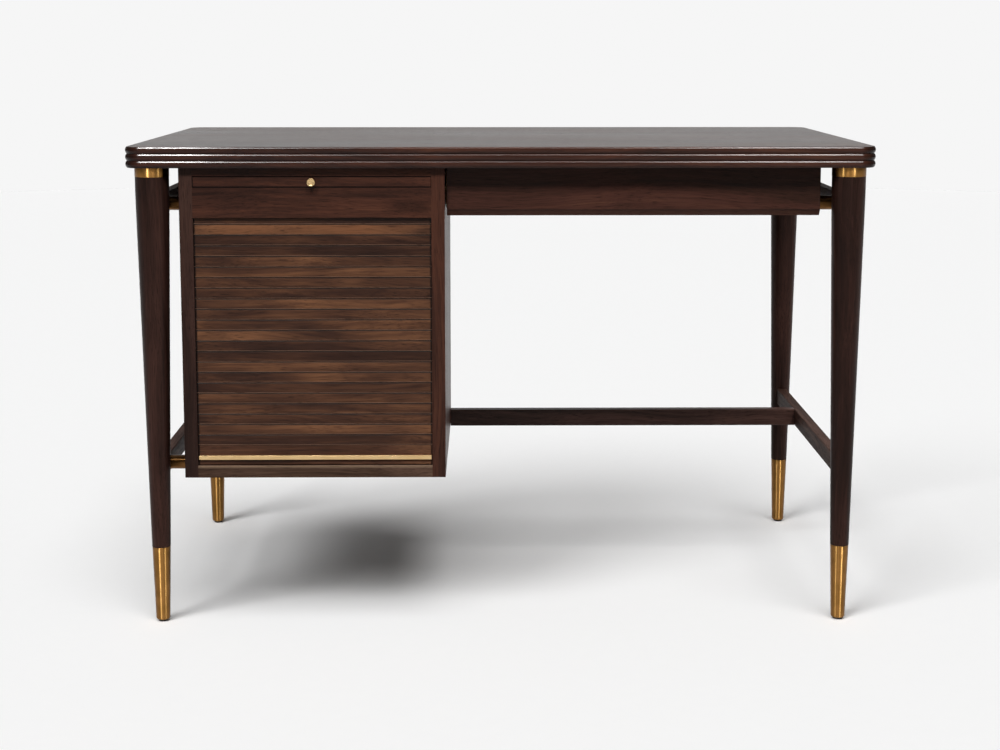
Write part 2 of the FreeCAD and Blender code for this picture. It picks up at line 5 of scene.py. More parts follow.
import bpy
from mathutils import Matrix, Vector

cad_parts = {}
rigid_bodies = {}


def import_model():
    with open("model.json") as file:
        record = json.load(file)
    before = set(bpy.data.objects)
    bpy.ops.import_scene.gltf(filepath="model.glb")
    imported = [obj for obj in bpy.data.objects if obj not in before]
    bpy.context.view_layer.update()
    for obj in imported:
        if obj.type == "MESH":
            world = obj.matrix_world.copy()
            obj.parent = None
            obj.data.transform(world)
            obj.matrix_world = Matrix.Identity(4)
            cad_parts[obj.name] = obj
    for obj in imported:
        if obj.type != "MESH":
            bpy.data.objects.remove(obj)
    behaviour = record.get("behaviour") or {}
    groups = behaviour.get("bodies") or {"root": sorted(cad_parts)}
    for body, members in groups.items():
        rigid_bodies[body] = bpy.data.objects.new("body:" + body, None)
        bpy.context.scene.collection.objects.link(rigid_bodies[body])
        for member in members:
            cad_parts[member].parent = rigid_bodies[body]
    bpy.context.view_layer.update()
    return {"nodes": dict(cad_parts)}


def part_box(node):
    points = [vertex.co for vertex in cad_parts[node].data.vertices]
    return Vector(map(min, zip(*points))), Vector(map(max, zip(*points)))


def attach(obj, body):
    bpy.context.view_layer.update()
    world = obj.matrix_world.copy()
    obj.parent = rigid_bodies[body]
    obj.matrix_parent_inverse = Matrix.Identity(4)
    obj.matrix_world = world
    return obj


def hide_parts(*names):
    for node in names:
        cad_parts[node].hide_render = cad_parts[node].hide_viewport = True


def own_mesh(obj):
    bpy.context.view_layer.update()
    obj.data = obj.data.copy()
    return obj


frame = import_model()
cadNodes = frame["nodes"]
mm = 0.001
hair = 0.01 * mm                 # too small to see: tolerance, and steps in a turned profile
black, white = (0, 0, 0, 1), (1, 1, 1, 1)


# Small helpers: nodes, colours, picking and finishing

def toLinear(hexText):
    # an sRGB hex colour as the linear colour that sockets take
    values = []
    for start in (0, 2, 4):
        part = int(hexText[start:start + 2], 16) / 255
        values.append(part / 12.92 if part <= 0.04045 else ((part + 0.055) / 1.055) ** 2.4)
    return (*values, 1.0)


def addNode(tree, kind, settings=None, links=None):
    # one shader node with its settings and what feeds it; stops are a ramp's (position, colour)
    node = tree.nodes.new("ShaderNode" + kind)
    for name, value in (settings or {}).items():
        if name == "stops":
            marks = node.color_ramp.elements
            while len(marks) < len(value):
                marks.new(0.5)
            for mark, (position, colour) in zip(marks, value):
                mark.position, mark.color = position, colour
        elif isinstance(name, int) or name in node.inputs:
            node.inputs[name].default_value = value
        else:
            setattr(node, name, value)
    for name, source in (links or {}).items():
        tree.links.new(source, node.inputs[name])
    return node


def newMaterial(name):
    material = bpy.data.materials.new(name)
    material.use_nodes = True
    tree = material.node_tree
    tree.nodes.clear()
    return material, tree


def closeMaterial(tree, settings, links):
    # the surface shader and the output
    shader = addNode(tree, "BsdfPrincipled", settings, links)
    addNode(tree, "OutputMaterial", links={"Surface": shader.outputs["BSDF"]})


def deselect():
    if bpy.context.mode != "OBJECT":
        bpy.ops.object.mode_set(mode="OBJECT")
    bpy.ops.object.select_all(action="DESELECT")


def pick(kind, test):
    # in edit mode, selects the vertices, edges or faces whose middle lies where test says
    mesh = bpy.context.edit_object.data
    bpy.ops.mesh.select_mode(type=kind)
    bpy.ops.mesh.select_all(action="DESELECT")
    bpy.ops.object.mode_set(mode="OBJECT")
    for part in {"VERT": mesh.vertices, "EDGE": mesh.edges, "FACE": mesh.polygons}[kind]:
        corners = [part.index] if kind == "VERT" else part.vertices
        part.select = test(sum((mesh.vertices[corner].co for corner in corners), Vector())
                           / len(corners))
    bpy.ops.object.mode_set(mode="EDIT")


def addBlock(name, low, high):
    # a cuboid between two corners, as a start
    deselect()
    low, high = Vector(low), Vector(high)
    bpy.ops.mesh.primitive_cube_add(size=1, location=(low + high) / 2, scale=high - low)
    bpy.ops.object.transform_apply(location=True, rotation=True, scale=True)
    piece = bpy.context.object
    piece.name = name
    return piece


def addTurned(name, foot, axis, stations, sides=64):
    # a lathe piece: a disc at the first station, extruded and scaled to the others
    deselect()
    turns = {"X": (0, math.pi / 2, 0), "Y": (math.pi / 2, 0, 0), "Z": (0, 0, 0)}
    along = Vector([axis == "X", axis == "Y", axis == "Z"])
    foot = Vector(foot)
    firstLevel, firstRadius = stations[0]
    bpy.ops.mesh.primitive_circle_add(vertices=sides, radius=firstRadius, fill_type="NGON",
                                      location=foot + along * firstLevel, rotation=turns[axis])
    bpy.ops.object.transform_apply(location=True, rotation=True, scale=True)
    piece = bpy.context.object
    piece.name = name
    bpy.ops.object.mode_set(mode="EDIT")
    bpy.ops.mesh.select_all(action="SELECT")
    level, radius = firstLevel, firstRadius
    for nextLevel, nextRadius in stations[1:]:
        bpy.ops.mesh.extrude_region_move(
            TRANSFORM_OT_translate={"value": along * (nextLevel - level)})
        ratio = nextRadius / radius
        bpy.ops.transform.resize(value=[1 if part else ratio for part in along],
                                 center_override=foot + along * nextLevel)
        level, radius = nextLevel, nextRadius
    bpy.ops.mesh.select_all(action="SELECT")
    bpy.ops.mesh.normals_make_consistent(inside=False)
    bpy.ops.object.mode_set(mode="OBJECT")
    return piece


def rim(level, radius, edge, inward):
    # the stations that ease a turned edge, from its face at this level to its full radius
    return [(level, radius - edge), (level + 0.3 * inward * edge, radius - 0.3 * edge),
            (level + inward * edge, radius)]


def copyPiece(pattern, places):
    # a copy with its own mesh at each place, which is (location, turn); the pattern goes
    copies = []
    for location, turn in places:
        deselect()
        pattern.select_set(True)
        bpy.context.view_layer.objects.active = pattern
        bpy.ops.object.duplicate()
        piece = bpy.context.object
        piece.location, piece.rotation_euler = location, turn
        bpy.ops.object.transform_apply(location=True, rotation=True, scale=True)
        copies.append(piece)
    bpy.data.objects.remove(pattern)
    return copies


def joinPieces(pieces, name):
    deselect()
    for piece in pieces:
        piece.select_set(True)
    bpy.context.view_layer.objects.active = pieces[0]
    bpy.ops.object.join()
    pieces[0].name = name
    return pieces[0]


def finishPiece(piece, body, materials, stands, angle=30):
    # smooths, paints and seats a finished piece, and hides the CAD nodes that it stands for
    deselect()
    piece.select_set(True)
    bpy.context.view_layer.objects.active = piece
    bpy.ops.object.shade_smooth_by_angle(angle=math.radians(angle))
    bpy.ops.object.transform_apply(location=True, rotation=True, scale=True)
    for material in materials:
        piece.data.materials.append(material)
    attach(piece, body)
    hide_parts(*stands)


print("helpers ready")


# Camera

cameraSettings = {
    "place": (-0.0243, -2.8183, 0.9033),
    "pitch": -7.22,          # degrees, down
    "turn": -0.51,           # degrees, to the right
    "lens": 59.99,           # mm, on a sensor this wide
    "sensor": 36,
    "rise": -0.12,           # share of the width by which the frame sits below the axis
    "reach": 100,            # m
}


def makeCamera(c):
    data = bpy.data.cameras.new("camera")
    data.sensor_width = c["sensor"]
    data.lens = c["lens"]
    data.shift_y = c["rise"]
    data.clip_end = c["reach"]
    camera = bpy.data.objects.new("camera", data)
    camera.location = c["place"]
    camera.rotation_euler = (math.radians(90 + c["pitch"]), 0, math.radians(c["turn"]))
    bpy.context.scene.collection.objects.link(camera)
    bpy.context.scene.camera = camera


makeCamera(cameraSettings)
print("camera ready")


# Studio: a pale floor, a low pale backdrop all round, soft light from above and two sides

# pieces that cast no shadow from the two floor lamps, so that the case's shadow stays the darkest
overhang = ["deskTop", "drawer_front", "drawer_bottom", "drawer_back", "drawer_case_back",
            "drawer_case_side", "drawer_side_left", "drawer_side_right", "drawer_runners"]
studio = {
    "floorColour": "f6f6f6",     # as the camera, gloss and glass see it
    "floorBounce": "707070",     # as the light that it throws back on the desk sees it
    "speckle": 25,               # mm, a faint unevenness of the paper, down to this share
    "speckleShare": 0.995,
    "radius": 8.0,
    "sides": 96,
    "backdropHeight": 2.4,
    "backdropLevel": 0.921,      # the same pale grey as the lit floor
    "backdropSides": 0.15,       # how much of it gloss sees at the two sides, as in a narrow studio
    "backdropFade": (0.38, 0.55),    # where that starts and is reached, in radii from the middle
    "worldLevel": 0.14,
    "suns": [                    # soft lamps far away: angle is how many degrees across
        {"name": "floorLeft", "from": (-0.507, -0.543, 0.669), "strength": 1.81, "angle": 26,
         "floor": True, "past": overhang},
        {"name": "floorRight", "from": (0.054, -0.387, 0.921), "strength": 1.65, "angle": 38,
         "floor": True, "past": overhang},
        {"name": "frontLeft", "from": (-0.38, -1.0, 1.27), "strength": 1.70, "angle": 12,
         "floor": False},
        {"name": "frontRight", "from": (0.34, -1.0, 1.24), "strength": 1.50, "angle": 12,
         "floor": False},
        {"name": "fillLeft", "from": (-1.0, -0.2, 0.8), "strength": 0.55, "angle": 30,
         "floor": False, "misses": ["deskTop"]},
        {"name": "fillRight", "from": (1.0, -0.1, 0.8), "strength": 0.65, "angle": 30,
         "floor": False, "misses": ["deskTop"]},
        {"name": "fillBack", "from": (0.2, 0.8, 1.4), "strength": 1.20, "angle": 40,
         "floor": False},
    ],
}

coolWhite = (0.72, 0.86, 1.0)
strips = [                       # narrow lamps in front: glints in the brass and on the beads
    {"name": "leftCollars", "place": (-0.94, -1.5, 0.9), "aim": (0, 0, 0.9), "size": (0.15, 1.8),
     "power": 17, "colour": coolWhite, "on": ["legCollars", "legSabots"]},
    {"name": "rightCollars", "place": (1.12, -1.45, 0.9), "aim": (0, 0, 0.9), "size": (0.10, 1.8),
     "power": 9, "colour": coolWhite, "on": ["legCollars", "legSabots"]},
    {"name": "leftSabots", "place": (-0.94, -1.5, 0.2), "aim": (0, 0, 0.2), "size": (0.12, 0.4),
     "power": 11, "colour": coolWhite, "on": ["legSabots"]},
    {"name": "rightSabots", "place": (1.12, -1.45, 0.2), "aim": (0, 0, 0.2), "size": (0.12, 0.4),
     "power": 18, "colour": coolWhite, "on": ["legSabots"]},
    {"name": "leftBeads", "place": (-0.76, -0.86, 1.79), "aim": (-0.76, -0.305, 0.73),
     "size": (0.14, 0.28), "power": 32, "colour": white[:3], "on": ["deskTop"]},
    {"name": "rightBeads", "place": (0.70, -0.86, 1.79), "aim": (0.70, -0.305, 0.73),
     "size": (0.34, 0.18), "power": 12, "colour": white[:3], "on": ["deskTop"]},
    {"name": "middleBeads", "place": (0, -0.86, 1.79), "aim": (0, -0.305, 0.73),
     "size": (1.7, 0.2), "power": 18, "colour": white[:3], "on": ["deskTop"]},
]


def seenDirectly(tree):
    # 1 for what the camera, gloss and glass see, 0 for scattered light
    path = addNode(tree, "LightPath").outputs
    seen = addNode(tree, "Math", {"operation": "MAXIMUM"},
                   {0: path["Is Camera Ray"], 1: path["Is Glossy Ray"]}).outputs[0]
    return addNode(tree, "Math", {"operation": "MAXIMUM"},
                   {0: seen, 1: path["Is Transmission Ray"]}).outputs[0]


def makeStudio(s):
    deselect()
    bpy.ops.mesh.primitive_circle_add(vertices=s["sides"], radius=s["radius"], fill_type="NGON")
    floor = bpy.context.object
    floor.name = "studioFloor"
    material, tree = newMaterial("matt paper floor")
    speckle = addNode(tree, "TexNoise", {"Scale": 1000 / s["speckle"], "Detail": 2.0},
                      {"Vector": addNode(tree, "TexCoord").outputs["Object"]})
    base = toLinear(s["floorColour"])
    darker = (*[s["speckleShare"] * value for value in base[:3]], 1)
    paper = addNode(tree, "ValToRGB", {"stops": [(0.3, darker), (0.7, base)]},
                    {"Fac": speckle.outputs["Fac"]}).outputs[0]
    paper = addNode(tree, "MixRGB", {"Color1": toLinear(s["floorBounce"])},
                    {"Fac": seenDirectly(tree), "Color2": paper}).outputs[0]
    closeMaterial(tree, {"Roughness": 0.9, "Specular IOR Level": 0.02}, {"Base Color": paper})
    floor.data.materials.append(material)

    bpy.ops.mesh.primitive_cylinder_add(vertices=s["sides"], radius=s["radius"],
                                        end_fill_type="NOTHING", depth=s["backdropHeight"],
                                        location=(0, 0, s["backdropHeight"] / 2))
    backdrop = bpy.context.object
    backdrop.name = "studioBackdrop"
    material, tree = newMaterial("pale backdrop")
    place = addNode(tree, "SeparateXYZ", links={
        "Vector": addNode(tree, "TexCoord").outputs["Object"]}).outputs["X"]
    sideways = addNode(tree, "Math", {"operation": "ABSOLUTE"}, {0: place}).outputs[0]
    level = addNode(tree, "MapRange", {
        "From Min": s["backdropFade"][0] * s["radius"],
        "From Max": s["backdropFade"][1] * s["radius"],
        "To Min": s["backdropLevel"], "To Max": s["backdropLevel"] * s["backdropSides"]},
        {"Value": sideways}).outputs[0]
    straight = addNode(tree, "LightPath").outputs["Is Camera Ray"]
    level = addNode(tree, "Mix", {"data_type": "FLOAT", 3: s["backdropLevel"]},
                    {0: straight, 2: level}).outputs[0]
    pale = addNode(tree, "Emission", {"Color": white}, {"Strength": level})
    clear = addNode(tree, "BsdfTransparent")
    mixed = addNode(tree, "MixShader", links={"Fac": seenDirectly(tree), 1: clear.outputs[0],
                                              2: pale.outputs[0]})
    addNode(tree, "OutputMaterial", links={"Surface": mixed.outputs[0]})
    backdrop.data.materials.append(material)

    world = bpy.data.worlds.new("soft studio")
    world.use_nodes = True
    sky = world.node_tree.nodes["Background"].inputs
    sky["Color"].default_value = white
    sky["Strength"].default_value = s["worldLevel"]
    bpy.context.scene.world = world

    floorOnly = bpy.data.collections.new("floorOnly")
    floorOnly.objects.link(floor)
    notFloor = bpy.data.collections.new("notFloor")
    notFloor.objects.link(floor)
    notFloor.collection_objects[0].light_linking.link_state = "EXCLUDE"
    for sun in s["suns"]:
        data = bpy.data.lights.new(sun["name"], "SUN")
        data.energy = sun["strength"]
        data.angle = math.radians(sun["angle"])
        lamp = bpy.data.objects.new(sun["name"], data)
        lamp.rotation_euler = (-Vector(sun["from"])).to_track_quat("-Z", "Y").to_euler()
        bpy.context.scene.collection.objects.link(lamp)
        lamp.light_linking.receiver_collection = floorOnly if sun["floor"] else notFloor


makeStudio(studio)
bpy.context.scene.view_settings.view_transform = "Standard"
print("studio ready")


# Materials

walnutFinish = {
    "deep": "22130e", "dark": "3b231b", "middle": "533226", "light": "704834",
    "stops": (0.40, 0.52, 0.62, 0.76),       # the tones at which these four are reached
    "bandShare": 0.50, "streakShare": 0.30, "cloudShare": 0.35,      # what the tone is made of
    "bandWidth": 38,         # mm, broad tone bands
    "streakWidth": 5,        # mm, growth rings seen on the face
    "poreWidth": 0.9,        # mm; real pores are 0.2 mm, too fine to show
    "cloudWidth": 150,       # mm, uneven stain
    "stretch": 0.05,         # how much slower the figure changes along the grain
    "cloudStretch": 0.35,
    "drift": 0.05,           # m, how far the grain wanders, and how often in a metre
    "driftScale": 3.0,
    "pore": "120a08",
    "poreStops": (0.56, 0.68),
    "poreShare": 0.55, "poreRough": 0.12, "poreDepth": 0.7,
    "specular": 0.1,         # thin matted lacquer over dark stain
    "roughness": 0.36, "roughSpread": 0.055,
    "bump": 0.06,            # mm
    "stripSpread": 0.0,      # how much lighter one strip is than another
    "stripJump": 9.0,        # m between the parts of the board that strips are sawn from
    # arrisShare: how strong the painted highlight and painted shade on the strips' arrises are
    "goldShare": 0.75, "arrisShare": 0.8,
}


def nearLevel(tree, place, axis, level, reach, core=0.4):
    # 1 on a plane across the axis and in its core, falling to 0 at this distance from it
    part = addNode(tree, "SeparateXYZ", links={"Vector": place}).outputs[axis]
    away = addNode(tree, "Math", {"operation": "SUBTRACT", 1: level}, {0: part}).outputs[0]
    away = addNode(tree, "Math", {"operation": "ABSOLUTE"}, {0: away}).outputs[0]
    return addNode(tree, "MapRange", {"From Min": core * reach, "From Max": reach,
                                      "To Min": 1.0, "To Max": 0.0}, {"Value": away}).outputs[0]


def makeWalnut(name, grain, changes=None, toneAttribute=None, lines=()):
    # American walnut, stained dark and sprayed with satin lacquer: long streaks along the grain,
    # fine open pores, uneven stain, a soft sheen that lies over both
    f = {**walnutFinish, **(changes or {})}
    material, tree = newMaterial(name)
    place = surface = addNode(tree, "TexCoord").outputs["Object"]
    if toneAttribute:
        # each strip comes from another part of the board
        own = addNode(tree, "Attribute", {"attribute_name": toneAttribute}).outputs["Fac"]
        jump = addNode(tree, "CombineXYZ", links={"X": own, "Z": own}).outputs[0]
        place = addNode(tree, "VectorMath", {"operation": "MULTIPLY_ADD",
                                             1: [f["stripJump"]] * 3},
                        {0: jump, 2: surface}).outputs[0]
    drift = addNode(tree, "TexNoise", {"Scale": f["driftScale"], "Detail": 1.0},
                    {"Vector": place}).outputs["Color"]
    bent = addNode(tree, "VectorMath", {"operation": "MULTIPLY_ADD", 1: [f["drift"]] * 3},
                   {0: drift, 2: place}).outputs[0]
    figures = []
    for part, start, stretch, detail, grit in (
            ("bandWidth", bent, f["stretch"], 3.0, 0.5),
            ("streakWidth", bent, f["stretch"] / 2, 5.0, 0.6),
            ("poreWidth", bent, f["stretch"] / 2, 1.0, 0.5),
            ("cloudWidth", place, f["cloudStretch"], 2.0, 0.5)):
        along = addNode(tree, "Mapping", {
            "Scale": [stretch if axis == grain else 1.0 for axis in "XYZ"]},
            {"Vector": start}).outputs[0]
        figures.append(addNode(tree, "TexNoise", {
            "Scale": 1000 / f[part], "Detail": detail, "Roughness": grit},
            {"Vector": along}).outputs["Fac"])
    band, streak, pore, cloud = figures

    tone = addNode(tree, "Value").outputs[0]
    tone.default_value = -f["stripSpread"] / 2
    parts = [(band, f["bandShare"]), (streak, f["streakShare"]), (cloud, f["cloudShare"])]
    if toneAttribute:
        parts.append((own, f["stripSpread"]))
    for part, share in parts:
        tone = addNode(tree, "Math", {"operation": "MULTIPLY_ADD", 1: share},
                       {0: part, 2: tone}).outputs[0]
    wood = addNode(tree, "ValToRGB", {"stops": [
        (level, toLinear(f[shade]))
        for level, shade in zip(f["stops"], ("deep", "dark", "middle", "light"))]},
        {"Fac": tone}).outputs[0]

    layers = []              # what lies over the wood: where, and its colour
    for planes, share, colour in lines:
        # a colour laid where these planes meet: dark joints, and painted shade and painted
        # highlights, as each caller lays them
        mask = addNode(tree, "Value").outputs[0]
        mask.default_value = share
        for axis, level, reach in planes:
            near = nearLevel(tree, surface, axis, level, reach)
            mask = addNode(tree, "Math", {"operation": "MULTIPLY"}, {0: near, 1: mask}).outputs[0]
        layers.append((mask, colour))
    if toneAttribute:
        # one strip of golden sapwood; a painted highlight on the lower arrises and painted shade on
        # the upper ones
        golden = addNode(tree, "MapRange", {"From Min": 1.0, "From Max": 1.4,
                                            "To Max": f["goldShare"]}, {"Value": own}).outputs[0]
        patch = addNode(tree, "MapRange", {"From Min": 0.35, "From Max": 0.65},
                        {"Value": cloud}).outputs[0]
        golden = addNode(tree, "Math", {"operation": "MULTIPLY"}, {0: golden, 1: patch}).outputs[0]
        edge = addNode(tree, "Attribute", {"attribute_name": "arris"}).outputs["Fac"]
        pale, upperArrisShade = [addNode(tree, "MapRange", {"From Max": end, "To Max": f["arrisShare"]},
                               {"Value": edge}).outputs[0] for end in (1.0, -1.0)]
        # the upper arrises take the pore colour as painted shade, the lower ones a pale painted
        # highlight
        layers += [(golden, f["sapwood"]), (pale, f["arrisHighlight"]), (upperArrisShade, f["pore"])]
    pores = addNode(tree, "ValToRGB", {"stops": list(zip(f["poreStops"], (black, white)))},
                    {"Fac": pore}).outputs[0]
    layers.append((addNode(tree, "Math", {"operation": "MULTIPLY", 1: f["poreShare"]},
                           {0: pores}).outputs[0], f["pore"]))
    for mask, colour in layers:
        wood = addNode(tree, "MixRGB", {"Color2": toLinear(colour)},
                       {"Fac": mask, "Color1": wood}).outputs[0]

    rough = addNode(tree, "MapRange", {"To Min": f["roughness"] - f["roughSpread"],
                                       "To Max": f["roughness"] + f["roughSpread"],
                                       "From Min": 0.3, "From Max": 0.7},
                    {"Value": cloud}).outputs[0]
    rough = addNode(tree, "Math", {"operation": "MULTIPLY_ADD", 1: f["poreRough"]},
                    {0: pores, 2: rough}).outputs[0]
    height = addNode(tree, "Math", {"operation": "MULTIPLY_ADD", 1: -f["poreDepth"]},
                     {0: pores, 2: streak}).outputs[0]
    bump = addNode(tree, "Bump", {"Strength": 0.6, "Distance": f["bump"] * mm},
                   {"Height": height}).outputs[0]
    closeMaterial(tree, {"IOR": 1.5, "Specular IOR Level": f["specular"]},
                  {"Base Color": wood, "Roughness": rough, "Normal": bump})
    return material


mapleFinish = {"light": "d9b98a", "dark": "bb925f", "fleck": "a87c4b",
               "bandWidth": 22, "fleckWidth": 1.6,       # mm
               "stretch": 0.05, "roughness": 0.55, "roughSpread": 0.06, "bump": 0.04}


def makeMaple(name, grain):
    # hard maple and birch ply, sanded and sealed clear: pale, even, with a faint close grain
    f = mapleFinish
    material, tree = newMaterial(name)
    place = addNode(tree, "TexCoord").outputs["Object"]
    along = addNode(tree, "Mapping", {
        "Scale": [f["stretch"] if axis == grain else 1.0 for axis in "XYZ"]},
        {"Vector": place}).outputs[0]
    band = addNode(tree, "TexNoise", {"Scale": 1000 / f["bandWidth"], "Detail": 4.0},
                   {"Vector": along}).outputs["Fac"]
    line = addNode(tree, "TexNoise", {"Scale": 1000 / f["fleckWidth"], "Detail": 2.0},
                   {"Vector": along}).outputs["Fac"]
    wood = addNode(tree, "ValToRGB", {"stops": [(0.35, toLinear(f["dark"])),
                                                (0.62, toLinear(f["light"]))]},
                   {"Fac": band}).outputs[0]
    fleck = addNode(tree, "ValToRGB", {"stops": [(0.55, black), (0.75, (0.5, 0.5, 0.5, 1))]},
                    {"Fac": line}).outputs[0]
    wood = addNode(tree, "MixRGB", {"Color2": toLinear(f["fleck"])},
                   {"Fac": fleck, "Color1": wood}).outputs[0]
    rough = addNode(tree, "MapRange", {"To Min": f["roughness"] - f["roughSpread"],
                                       "To Max": f["roughness"] + f["roughSpread"]},
                    {"Value": line}).outputs[0]
    bump = addNode(tree, "Bump", {"Strength": 0.4, "Distance": f["bump"] * mm},
                   {"Height": line}).outputs[0]
    closeMaterial(tree, {"IOR": 1.48}, {"Base Color": wood, "Roughness": rough, "Normal": bump})
    return material


brassFinish = {"bright": "9a6f3c", "worn": "87602f", "roughness": 0.32, "roughSpread": 0.03,
               "cloudWidth": 18,         # mm, patches where air has dulled it
               "hairWidth": 0.8,         # mm; real hairlines are 0.05 mm, too fine to show
               "hairDepth": 0.01, "hairRough": 0.05,
               "stretch": 0.02, "hairlines": 0.95, "turn": 0.25, "bump": 0.12}


def makeBrass(name, brushed=None, axis=None, changes=None):
    # rolled and turned brass, gone warm with age under clear lacquer: fine hairlines along the way
    # it was finished, so that reflections stretch across them, duller where air has reached it
    f = {**brassFinish, **(changes or {})}
    material, tree = newMaterial(name)
    place = addNode(tree, "TexCoord").outputs["Object"]
    cloud = addNode(tree, "TexNoise", {"Scale": 1000 / f["cloudWidth"], "Detail": 3.0},
                    {"Vector": place}).outputs["Fac"]
    along = addNode(tree, "Mapping", {
        "Scale": [f["stretch"] if way == brushed else 1.0 for way in "XYZ"]},
        {"Vector": place}).outputs[0]
    scratch = addNode(tree, "TexNoise", {"Scale": 1000 / f["hairWidth"], "Detail": 2.0},
                      {"Vector": along}).outputs["Fac"]
    metal = addNode(tree, "ValToRGB", {"stops": [(0.3, toLinear(f["worn"])),
                                                 (0.7, toLinear(f["bright"]))]},
                    {"Fac": cloud}).outputs[0]
    rough = addNode(tree, "MapRange", {"From Min": 0.3, "From Max": 0.7,
                                       "To Min": f["roughness"] + f["roughSpread"],
                                       "To Max": f["roughness"] - f["roughSpread"]},
                    {"Value": cloud}).outputs[0]
    rough = addNode(tree, "Math", {"operation": "MULTIPLY_ADD", 1: f["hairRough"]},
                    {0: scratch, 2: rough}).outputs[0]
    bump = addNode(tree, "Bump", {"Strength": f["bump"], "Distance": f["hairDepth"] * mm},
                   {"Height": scratch}).outputs[0]
    links = {"Base Color": metal, "Roughness": rough, "Normal": bump}
    settings = {"Metallic": 1.0}
    if axis:
        # the hairlines run round this axis
        around = addNode(tree, "VectorMath", {
            "operation": "CROSS_PRODUCT", 1: [float(way == axis) for way in "XYZ"]},
            {0: addNode(tree, "NewGeometry").outputs["Normal"]}).outputs[0]
        links["Tangent"] = around
        settings.update({"Anisotropic": f["hairlines"], "Anisotropic Rotation": f["turn"]})
    closeMaterial(tree, settings, links)
    return material


# small parts: a fine noise runs from dark to light and sets the roughness
nylonFinish = {          # moulded glide, nearly black, scuffed matt by the floor
    "dark": "17130f", "light": "2c2621", "stops": (0.35, 0.7), "grains": 900.0, "detail": 3.0,
    "rough": (0.45, 0.7), "surface": {"IOR": 1.53}}
steelFinish = {          # plain turned screw, with fine rings from the lathe
    "dark": "8b8a86", "light": "b4b3ae", "stops": (0.3, 0.7), "grains": 1600.0, "detail": 2.0,
    "rough": (0.28, 0.45), "surface": {"Metallic": 1.0}}
canvasFinish = {"dark": "7a6a4f", "light": "b3a07c", "stops": (0.0, 0.8),
                "thread": 2.4, "waver": 1.2, "bump": 0.15,       # mm, a share, mm
                "surface": {"Roughness": 0.9, "Specular IOR Level": 0.2}}


def makePlain(name, f):
    material, tree = newMaterial(name)
    place = addNode(tree, "TexCoord").outputs["Object"]
    grain = addNode(tree, "TexNoise", {"Scale": f["grains"], "Detail": f["detail"]},
                    {"Vector": place}).outputs["Fac"]
    shade = addNode(tree, "ValToRGB", {"stops": [
        (level, toLinear(f[end])) for level, end in zip(f["stops"], ("dark", "light"))]},
        {"Fac": grain}).outputs[0]
    rough = addNode(tree, "MapRange", {"To Min": f["rough"][0], "To Max": f["rough"][1]},
                    {"Value": grain}).outputs[0]
    closeMaterial(tree, f["surface"], {"Base Color": shade, "Roughness": rough})
    return material


def makeCanvas(name, f):
    # cotton duck glued down with hide glue: a plain weave, buff, stiff and matt
    material, tree = newMaterial(name)
    place = addNode(tree, "TexCoord").outputs["Object"]
    threads = [addNode(tree, "TexWave", {"bands_direction": way, "Scale": 1000 / f["thread"],
                                         "Distortion": f["waver"]},
                       {"Vector": place}).outputs["Fac"] for way in "XZ"]
    weave = addNode(tree, "Math", {"operation": "MULTIPLY"}, dict(enumerate(threads))).outputs[0]
    cloth = addNode(tree, "ValToRGB", {"stops": [
        (level, toLinear(f[end])) for level, end in zip(f["stops"], ("dark", "light"))]},
        {"Fac": weave}).outputs[0]
    bump = addNode(tree, "Bump", {"Strength": 0.5, "Distance": f["bump"] * mm},
                   {"Height": weave}).outputs[0]
    closeMaterial(tree, f["surface"], {"Base Color": cloth, "Normal": bump})
    return material


# near black: dark joints, and painted shade between parts
jointAndShadeDark = "0c0605"
boardFront = ("Y", -293 * mm, 3 * mm)     # the front faces of the case's boards
# painted shade at both ends of the strips and the lead rail, where the side boards shade the recess
curtainEndShade = [([("X", level * mm, 3.5 * mm)], 0.9, jointAndShadeDark) for level in (-469.5, -106.5)]
walnutX = makeWalnut("walnutAcross", "X")
# greyer walnut: a painted reflection of the pale studio, on faces that lie mostly in shade
walnutY = makeWalnut("walnutDeep", "Y", {"dark": "3a2822", "middle": "503a32", "light": "6b5147",
                                         "roughness": 0.5, "specular": 0.04})
# greyer walnut: a painted reflection of the pale studio
walnutCross = makeWalnut("walnutCross", "X", {"dark": "372621", "middle": "4e3731",
                                              "light": "6a4e44"})
walnutDrawer = makeWalnut("walnutDrawer", "X", {"dark": "352018", "middle": "492c24",
                                                "light": "623f30", "bandWidth": 60,
                                                "cloudWidth": 110}, lines=[
    # the bevel that fingers pull on, painted paler: painted light that lifts the shade on this
    # downward face
    ([("Y", -269.6 * mm, 5.4 * mm), ("Z", 646.5 * mm, 14 * mm)], 0.85, "744b3c")])
walnutZ = makeWalnut("walnutUpright", "Z")
walnutZDark = makeWalnut("walnutUprightDark", "Z", {"deep": "1b110d", "dark": "2b1b16",
                                                   "middle": "3d2923", "light": "4f372e"})
# darker than the boards: painted shade, as the round legs catch less light at their sides
walnutLegsShaded = makeWalnut("walnutLegsShaded", "Z", {"deep": "190f0c", "dark": "2a1914", "middle": "3c2620",
                                            "light": "50352d"})
walnutTop = makeWalnut("walnutTop", "X", {"deep": "180e0b", "dark": "2b1b16", "middle": "3d2923",
                                          "light": "513a30", "roughness": 0.29, "bump": 0.03,
                                          "roughSpread": 0.02, "specular": 0.24})
walnutUnder = makeWalnut("walnutUnder", "X", {"roughness": 0.62, "specular": 0.03})
walnutBeads = makeWalnut("walnutBeads", "X", {"deep": "1c0e0a", "dark": "331c15",
                                              "middle": "4a2a1f", "light": "643e2c",
                                              "roughness": 0.15, "bump": 0.02, "specular": 0.16},
                         # the rounded ends painted darker: painted shade, as little light reaches
                         # the top's ends
                         lines=[([("X", level * mm, 26 * mm)], 0.8, "150c09")
                                for level in (-571.5, 571.5)])
